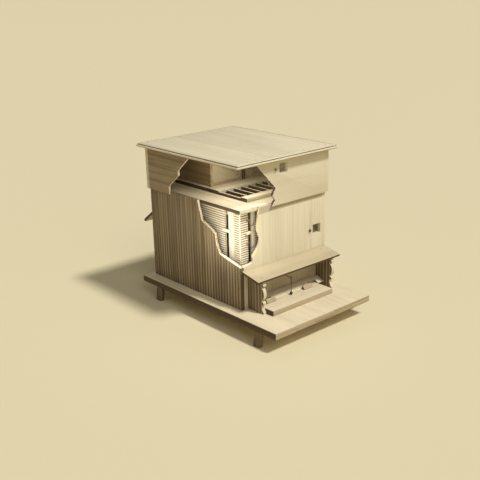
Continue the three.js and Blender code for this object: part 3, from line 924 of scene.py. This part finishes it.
def woven(prefix, hole, inner):
    """Wire cloth in a tin frame behind a vent, the wires passing over and under."""
    x0, x1, z0, z1 = hole
    border = 8.0
    thickness = 1.5
    pitch = 3.2
    wave = 0.42
    wire = 0.5
    cloth = Shape()
    for low_x, low_z, high_x, high_z in (
        (x0 - border, z0 - border, x1 + border, z0),
        (x0 - border, z1, x1 + border, z1 + border),
        (x0 - border, z0, x0, z1),
        (x1, z0, x1 + border, z1),
    ):
        low, high = (low_x, inner, low_z), (high_x, inner + thickness, high_z)
        cloth.box(low, high, 0.3, material=1)
    xs = even(x0, x1, round((x1 - x0) / pitch))
    zs = even(z0, z1, round((z1 - z0) / pitch))

    def crossing(i, k, side):
        over = wave if (i + k) % 2 else -wave
        return xs[i], inner + thickness / 2 + side * over, zs[k]

    for i in range(len(xs)):
        cloth.tube([crossing(i, k, 1) for k in range(len(zs))], wire, 6)
    for k in range(len(zs)):
        cloth.tube([crossing(i, k, -1) for i in range(len(xs))], wire, 6)
    piece(cloth, prefix + "_vent_gauze", [WIRE, TIN], prefix + "_vent_screen")


woven("front", (518, 578, 287, 340), WALL)
woven("cap", (262, 318, 669, 719), WALL - CAP_PROUD)
dress("front_vent_shutter", TIN, 0.5)
dress("cap_vent_shutter", WIRE, 0.5)

# ---------- Portico and entrance ----------


def portico_face(p, normal):
    """The drip edge and the ends are darker than the roof's top: painted shade."""
    in_drip_edge = p.z < 183.0 and normal.y < -0.2
    return 1 if in_drip_edge or abs(normal.x) > FACING else 0


portico_edge = [
    (0, PORTICO_UNDER),
    (0, PORTICO_TOP),
    (-118, 184.85),
    (-120.6, 183.4),
    (-122, 181.2),
    (-121.4, 178.9),
    (-119.2, 178.0),
    (-119.2, 172.6),
]
piece(
    Shape().prism("x", portico_edge, 8, 602, 0.6, 1, 30.0, material=portico_face),
    "portico_roof_look",
    [PORCH_ROOF, EDGE["x"]],
    "portico_roof",
)


def scroll_outline():
    """The bracket's side: a bead, a long swelling, a second bead and a flared foot."""
    reach = 115
    top = PORTICO_UNDER - 0.3
    front_top = top - PORTICO_FALL * reach
    points = [(0, 0), (0, top), (-reach, front_top), (-reach, front_top - 6)]
    for centre_y, centre_z, radius_y, radius_z, steps in (
        (-103, 153, 12, 9, 14),
        (-98, 105, 20, 34, 24),
        (-103, 57, 12, 9, 14),
    ):
        for i in range(steps + 1):
            t = math.pi / 2 - math.pi * i / steps
            points.append((centre_y - radius_y * math.cos(t), centre_z + radius_z * math.sin(t)))
    for t in even(0, 1, 8):
        points.append((14 - reach - 14 * t * t, 40 - 32 * t))
    points.append((-reach, 0))
    return points


for side, x in (("left", 46), ("right", 544)):
    piece(
        Shape().prism("x", scroll_outline(), x, x + 20, 1.0, 2, 35.0, material=shaded_left),
        f"portico_bracket_{side}_look",
        [PINE["z"], LEFT_SHADE_REEDED],
        f"portico_bracket_{side}",
    )
dress("alighting_board", [WORN["x"], EDGE["x"], END_GRAIN_AND_SHADE], 1.4, 3, material=shaded_edges)
dress("entrance_bar", [WORN["x"], EDGE["x"]], 0.6, material=shaded_left)
for side in ("left", "right"):
    dress(f"entrance_slide_{side}", [SHADED_PORCH, EDGE["x"]], 0.9, material=shaded_left)

LATCH = Vector((283, -72, 123))
RING = 5.1
BALL = 8
latch = Shape()
turns = [2 * math.pi * i / 28 for i in range(28)]
ring = [LATCH + Vector((RING * math.cos(t), 0, RING * math.sin(t))) for t in turns]
latch.tube(ring, 1.9, 12, closed=True)
ball = Vector((LATCH.x, LATCH.y, 37))
stem = [(LATCH - Vector((0, 0, 6.2))).lerp(ball, t) for t in even(0, 1, 8)]
latch.tube(stem, [2.6, 2.3, 2.1, 2.0, 2.0, 2.0, 2.1, 2.4, 2.8], 12)
arc = [math.pi * i / 14 for i in range(14)]
bead = [(BALL - BALL * math.cos(t), BALL * math.sin(t)) for t in arc]
latch.turned(ball + Vector((0, 0, BALL)), (0, 0, -1), [*bead, (2 * BALL, 0.0)])
piece(latch, "entrance_latch_look", IRON, "entrance_latch")
latch_screw = Shape()
shank = [(0, 2.5), (75.6, 2.5), (75.6, 5.2), (76.2, 6.0), (77.4, 6.0)]
latch_screw.turned((LATCH.x, 0, LATCH.z), (0, -1, 0), shank)
screw(latch_screw, (LATCH.x, -77.3, LATCH.z), (0, -1, 0), 6.0, 0.6)
piece(latch_screw, "entrance_latch_screw_look", BRASS, "entrance_latch_screw")

# ---------- Inner hive ----------

SLAT_TONES = 43
# Where the corner posts' runs of slats start and end, from the case's side and from its end.
RUN_START_X, RUN_END_X, RUN_END_Y = 68, 106, 108


def course_tones():
    """One tone for each slat of a wall."""
    tones = [rng.random() for _ in range(SLAT_TONES)]
    return lambda p: tones[int(p.z / SLAT_PITCH) % SLAT_TONES]


def from_side(p):
    return min(p.x, CASE_WIDTH - p.x)


def from_end(p):
    return min(p.y, CASE_DEPTH - p.y)


def slatted(node_name, runs_x, runs_y):
    """A wall or corner of slats: the grain follows each run, stiles stand upright, and the grooves
    between the slats carry painted shade."""
    bm = copied(node_name)
    rounded(bm, 1.1, 2, 30.0)
    for f in bm.faces:
        p = f.calc_center_median()
        heights = [v.co.z for v in f.verts]
        depth = min(from_side(p), from_end(p)) - INNER_FACE
        if 1.6 < depth < 8.0 and max(heights) - min(heights) < SLAT_PITCH:
            f.material_index = 3
        elif runs_x(p):
            f.material_index = 0
        else:
            f.material_index = 1 if runs_y(p) else 2
    look = [SLAT["x"], SLAT["y"], SLAT["z"], GROOVE_SHADE]
    piece(Shape().add(bm, course_tones(), None), node_name + "_look", look, node_name)


for end in ("front", "rear"):
    for side in ("left", "right"):
        slatted(
            f"inner_post_{end}_{side}",
            lambda p: RUN_START_X < from_side(p) < RUN_END_X,
            lambda p: from_side(p) <= RUN_START_X and from_end(p) < RUN_END_Y,
        )
    slatted(f"inner_panel_{end}", lambda p: 150 < p.x < 460, lambda p: False)
for side in ("left", "right"):
    slatted(f"inner_panel_{side}", lambda p: False, lambda p: True)

for side in ("front", "rear", "left", "right"):
    dress(f"panel_button_{side}", SLAT["x" if side in ("front", "rear") else "y"], 1.2, 3)

HOOK_BENDS = [(98, 0), (113, -4), (114, -22), (121, -34), (134, -32), (138, -20)]
for level, z in (("upper", 448), ("lower", 328)):
    line = smooth_line([Vector((x, 50.5, z + dz)) for x, dz in HOOK_BENDS])
    hook = Shape().tube(line, [2.0] * (len(line) - 3) + [1.8, 1.5, 1.1], 12)
    hook.turned((98, 54.6, z), (0, -1, 0), [(0, 5.0), (5.2, 5.0), (6.1, 4.2)])
    piece(hook, f"panel_hook_{level}_look", WIRE, f"panel_hook_{level}")

# ---------- Combs ----------


def comb_or_frame(p, normal):
    """The frames' top bars and end bars are wood."""
    return 1 if p.z > 466 or from_side(p) < 88 else 0


for end in ("front", "rear"):
    dress(f"comb_bank_{end}", [COMB, PINE["x"]], 1.0, material=comb_or_frame)

# ---------- Top boards, rack and honey boxes ----------

SLOT_FRONT, SLOT_REAR = RACK_FRONT_RAIL[1], RACK_MIDDLE_RAIL[0]


def under_rack(p, normal):
    """Painted shade darkens the boards where they show between the rack's bars."""
    in_slots = RACK_LEFT < p.x < RACK_RIGHT and SLOT_FRONT < p.y < SLOT_REAR
    return 2 if normal.z > 0.9 and in_slots else shaded_left(p, normal)


for part in ("left", "middle", "right"):
    bm = copied(f"top_board_{part}")
    rounded(bm, 1.2, 3, 30.0)
    split(bm, "x", RACK_LEFT, RACK_RIGHT)
    split(bm, "y", SLOT_FRONT, SLOT_REAR)
    shape = Shape().add(bm, material=under_rack)
    piece(shape, f"top_board_{part}_look", [PINE["y"], EDGE["y"], SLOT_SHADE], f"top_board_{part}")

rack = Shape()
rack_top = CASE_TOP + RACK_HEIGHT
for y0, y1 in (RACK_FRONT_RAIL, RACK_MIDDLE_RAIL, RACK_REAR_RAIL):
    low, high = (RACK_LEFT, y0, CASE_TOP), (RACK_RIGHT, y1, rack_top)
    rack.box(low, high, 1.2, material=lambda p, n: 2 * shaded_left(p, n))
for x0, x1 in ((RACK_LEFT, 180), (554, RACK_RIGHT), (266, 286), (346, 366), (426, 446)):
    low, high = (x0, RACK_MIDDLE_RAIL[1], CASE_TOP), (x1, RACK_REAR_RAIL[0], rack_top)
    rack.box(low, high, 1.0, material=lambda p, n: 1 + shaded_left(p, n))
SLAT_WIDTH = 9
for x in even(RACK_LEFT, RACK_RIGHT - SLAT_WIDTH, 8):
    low, high = (x, SLOT_FRONT - 2, CASE_TOP), (x + SLAT_WIDTH, SLOT_REAR + 2, rack_top - 5)
    rack.box(low, high, 1.2, material=lambda p, n: 1 + shaded_left(p, n))
piece(rack, "honey_rack_look", [PINE["x"], PINE["y"], EDGE["y"]], "honey_rack")

MEETING_STILES = (398, 428)
GLASS_FACE = 430.6
BEAD = 3.0


def box_face(p, normal):
    """The two boxes' meeting stiles are black with the bees' varnish, and on their backs the
    grain lies level."""
    if normal.y > FACING:
        return 2
    low, high = MEETING_STILES
    return 1 if normal.y < -FACING and low < p.x < high else 0


for side, x0, x1 in (("left", 176, 411), ("right", 415, 582)):
    bm = copied(f"honey_box_{side}")
    rounded(bm, 1.2, 2, 30.0)
    split(bm, "x", *MEETING_STILES)
    shape = Shape().add(bm, material=box_face)
    look = [BOX["y"], EDGE["z"], BOX["x"]]
    piece(shape, f"honey_box_{side}_look", look, f"honey_box_{side}")
    dress(f"honey_glass_{side}", GLASS, 0.4)
    beads = Shape()
    for low_x, low_z, high_x, high_z in (
        (x0 + 10, 546, x1 - 10, 551),
        (x0 + 10, 681, x1 - 10, 686),
        (x0 + 10, 551, x0 + 15, 681),
        (x1 - 15, 551, x1 - 10, 681),
    ):
        beads.box((low_x, GLASS_FACE, low_z), (high_x, GLASS_FACE + BEAD, high_z), 0.9)
    piece(beads, f"honey_glass_beads_{side}", BOX["x"], body="case", slot="honey_box_wood")

# ---------- Roof ----------


def rounded_ring(inset, corner, steps=6):
    """The roof's outline, drawn in by an inset, with rounded corners."""
    beyond = ROOF_OVERHANG - inset
    x0, x1, y0, y1 = -beyond, CASE_WIDTH + beyond, -beyond, CASE_DEPTH + beyond
    radius = max(corner - inset, 0.2)
    points = []
    for cx, cy, turn in (
        (x1 - radius, y0 + radius, -90),
        (x1 - radius, y1 - radius, 0),
        (x0 + radius, y1 - radius, 90),
        (x0 + radius, y0 + radius, 180),
    ):
        for i in range(steps + 1):
            t = math.radians(turn + 90 * i / steps)
            points.append((cx + radius * math.cos(t), cy + radius * math.sin(t)))
    return points


def edge_moulding():
    """The roof's moulded edge: a round nose, a quirk and a cove, with a tongue under the boards.
    The profile is (inset, height)."""
    profile = [(22.3, CAP_TOP)]
    for i in range(11):
        t = math.radians(-90 + 18 * i)
        profile.append((6.5 - 6.5 * math.cos(t), 748.5 + 6.5 * math.sin(t)))
    profile += [(6.6, 751.8), (10.0, 751.8), (10.0, 756.8)]
    for i in range(6):
        t = math.radians(90 * i / 5)
        profile.append((15.2 - 5.0 * math.cos(t), 757.0 + 5.0 * math.sin(t)))
    profile += [(18.3, ROOF_TOP), (18.3, 755.5), (22.3, 755.5)]
    bm = bmesh.new()
    rings = [
        [bm.verts.new((x, y, z)) for x, y in rounded_ring(inset, 9.0)] for inset, z in profile
    ]
    for a, b in zip(rings, rings[1:] + rings[:1]):
        for k in range(len(a)):
            n = (k + 1) % len(a)
            bm.faces.new((a[k], a[n], b[n], b[k]))
    bmesh.ops.recalc_face_normals(bm, faces=bm.faces)
    return bm


def moulding_shade(p, normal):
    """Painted shade lies in the quirk and under the nose."""
    in_quirk = 751 < p.z < 754.9 and (normal.z > 0.95 or abs(normal.z) < 0.1)
    under_nose = p.z < 745.5 and normal.z > -0.995
    return 1 if in_quirk or under_nose else 0


roof_edge = Shape().add(edge_moulding(), 0.5, moulding_shade)
piece(roof_edge, "roof_moulding", [PINE["y"], EDGE["y"]], body="roof", slot="roof_pine")
roof_boards = Shape()
INSIDE_EDGE = ROOF_OVERHANG - 22
seams = even(-INSIDE_EDGE, CASE_WIDTH + INSIDE_EDGE, 6)
for x0, x1 in zip(seams, seams[1:]):
    top = ROOF_TOP - 0.4 - 0.4 * rng.random()
    roof_boards.box((x0, -INSIDE_EDGE, CAP_TOP), (x1, CASE_DEPTH + INSIDE_EDGE, top), 0.8)
piece(roof_boards, "roof_boards", PINE["y"], "roof")

# ---------- Hinges and rear door ----------

for kind in ("cap", "roof", "rear", "door"):
    for side in ("left", "right"):
        dress(f"{kind}_hinge_leaf_{side}", IRON, 0.3, 1, 50.0)
dress("rear_door", [PINE["x"], EDGE["x"]], 1.4, 3, material=shaded_left)

TO_REAR, TO_LEFT, TO_RIGHT, DOWN, UP = (0, 1, 0), (-1, 0, 0), (1, 0, 0), (0, 0, -1), (0, 0, 1)
# The screws' row on each kind of leaf: body, y, z and the way that the heads face.
LEAF_SCREWS = (
    ("cap", 759.4, 722, TO_REAR),
    ("roof", 787, 739.7, DOWN),
    ("case", 747.3, 392, TO_REAR),
)
SCREW_RADIUS = 3.4

fittings = {"case": Shape(), "cap": Shape(), "roof": Shape()}
for x in HINGE_XS:
    for dx in (-22, 0, 22):
        for body, y, z, facing in LEAF_SCREWS:
            screw(fittings[body], (x + dx, y, z), facing, SCREW_RADIUS, rng.random() * 3)
for body, shape in fittings.items():
    piece(shape, body + "_hinge_screws", IRON, body=body, slot="iron")

nails = {"case": Shape(), "cap": Shape(), "roof": Shape()}
middle = WALL / 2  # nails go in over the middle of the board behind
for z in (40, 120, 200):
    nail(nails["case"], (0, middle, z), TO_LEFT)
for z in (40, 120, 200, 280, 360, 440, 490):
    nail(nails["case"], (CASE_WIDTH, middle, z), TO_RIGHT)
    for x in (middle, CASE_WIDTH - middle):
        nail(nails["case"], (x, CASE_DEPTH, z), TO_REAR)
for z in (535, 600, 665, 725):
    nail(nails["cap"], (CASE_WIDTH + CAP_PROUD, middle - CAP_PROUD, z), TO_RIGHT)
    for x in (middle - CAP_PROUD, CASE_WIDTH + CAP_PROUD - middle):
        nail(nails["cap"], (x, CASE_DEPTH + CAP_PROUD, z), TO_REAR)
for low, high in zip(seams, seams[1:]):
    for share in (0.25, 0.75):
        x = low + (high - low) * share
        for y in (-2, 746):
            nail(nails["roof"], (x, y, 761.4), UP)
off_roof = Vector((0, -PORTICO_FALL, 1)).normalized()
for x in (56, 554):
    for y in (-30, -95):
        nail(nails["case"], (x, y, PORTICO_TOP + PORTICO_FALL * y), off_roof)
for body, shape in nails.items():
    piece(shape, body + "_nails", IRON, body=body, slot="iron")

# ---------- Floor, light and camera ----------

FLOOR_RADIUS = 190.0
WARM_LIGHT = (1.0, 0.98, 0.94)
HIVE_MIDDLE = (0.0, -0.1, 0.45)
CAMERA_PLACE = (-2362.85, -2720.2, 1587.54)
CAMERA_TURN = (40.99, 18.55, -1.37)  # yaw, pitch down and roll, in degrees
CAMERA_LENS = 58.04

scene = bpy.context.scene
scene.view_settings.view_transform = "Standard"
ground = bmesh.new()
bmesh.ops.create_circle(ground, cap_ends=True, radius=FLOOR_RADIUS, segments=64)
ground_mesh = bpy.data.meshes.new("floor")
ground.to_mesh(ground_mesh)
ground.free()
ground_object = bpy.data.objects.new("floor", ground_mesh)
scene.collection.objects.link(ground_object)
floor_material, _, shader = new_material("pale_floor")
shader.inputs["Base Color"].default_value = (*srgb(218, 207, 173), 1.0)
shader.inputs["Roughness"].default_value = 0.9
ground_mesh.materials.append(floor_material)

world = bpy.data.worlds.new("studio")
world.use_nodes = True
background = world.node_tree.nodes["Background"]
background.inputs["Color"].default_value = (*srgb(240, 234, 218), 1.0)
background.inputs["Strength"].default_value = 0.31
scene.world = world


def lamp(name, kind, position, target, energy, colour, **values):
    data = bpy.data.lights.new(name, kind)
    data.energy = energy
    data.color = colour
    for key, value in values.items():
        setattr(data, key, value)
    made = bpy.data.objects.new(name, data)
    scene.collection.objects.link(made)
    made.location = position
    direction = Vector(target) - made.location
    made.rotation_euler = direction.to_track_quat("-Z", "Y").to_euler()
    return made


key_angle, fill_angle = math.radians(8), math.radians(25)
lamp("key", "SUN", (1.4, -4.1, 7.5), HIVE_MIDDLE, 2.65, WARM_LIGHT, angle=key_angle)
lamp(
    "front_fill", "SUN", (-1.4, -4.1, 3.9), HIVE_MIDDLE, 0.38, (1.0, 0.985, 0.95), angle=fill_angle
)
# Small hidden lamps by the broken corner. Places and targets are in hive millimetres.
for name, place, target, energy, width, height in (
    ("under_roof", (150, 170, 738), (150, 170, 500), 0.8, 0.25, 0.25),
    ("corner_left", (-110, 90, 390), (55, 170, 380), 0.46, 0.14, 0.22),
    ("corner_front", (40, -100, 380), (110, 55, 370), 0.10, 0.08, 0.22),
):
    position, aim = (ORIGIN + Vector(v) * MM for v in (place, target))
    inner = lamp(name, "AREA", position, aim, energy, WARM_LIGHT, size=width)
    inner.data.shape = "RECTANGLE"
    inner.data.size_y = height
    inner.visible_camera = False

camera_data = bpy.data.cameras.new("camera")
camera = bpy.data.objects.new("camera", camera_data)
scene.collection.objects.link(camera)
scene.camera = camera
camera_data.sensor_width = 36.0
camera_data.lens = CAMERA_LENS
camera_data.clip_end = 600.0
yaw, pitch, roll = (math.radians(v) for v in CAMERA_TURN)
ahead = Vector((math.sin(yaw) * math.cos(pitch), math.cos(yaw) * math.cos(pitch), -math.sin(pitch)))
level = Vector((math.cos(yaw), -math.sin(yaw), 0.0))
above = level.cross(ahead)
right = math.cos(roll) * level + math.sin(roll) * above
up = -math.sin(roll) * level + math.cos(roll) * above
rotation = Matrix((right, up, -ahead)).transposed().to_4x4()
camera.matrix_world = Matrix.Translation(ORIGIN + Vector(CAMERA_PLACE) * MM) @ rotation
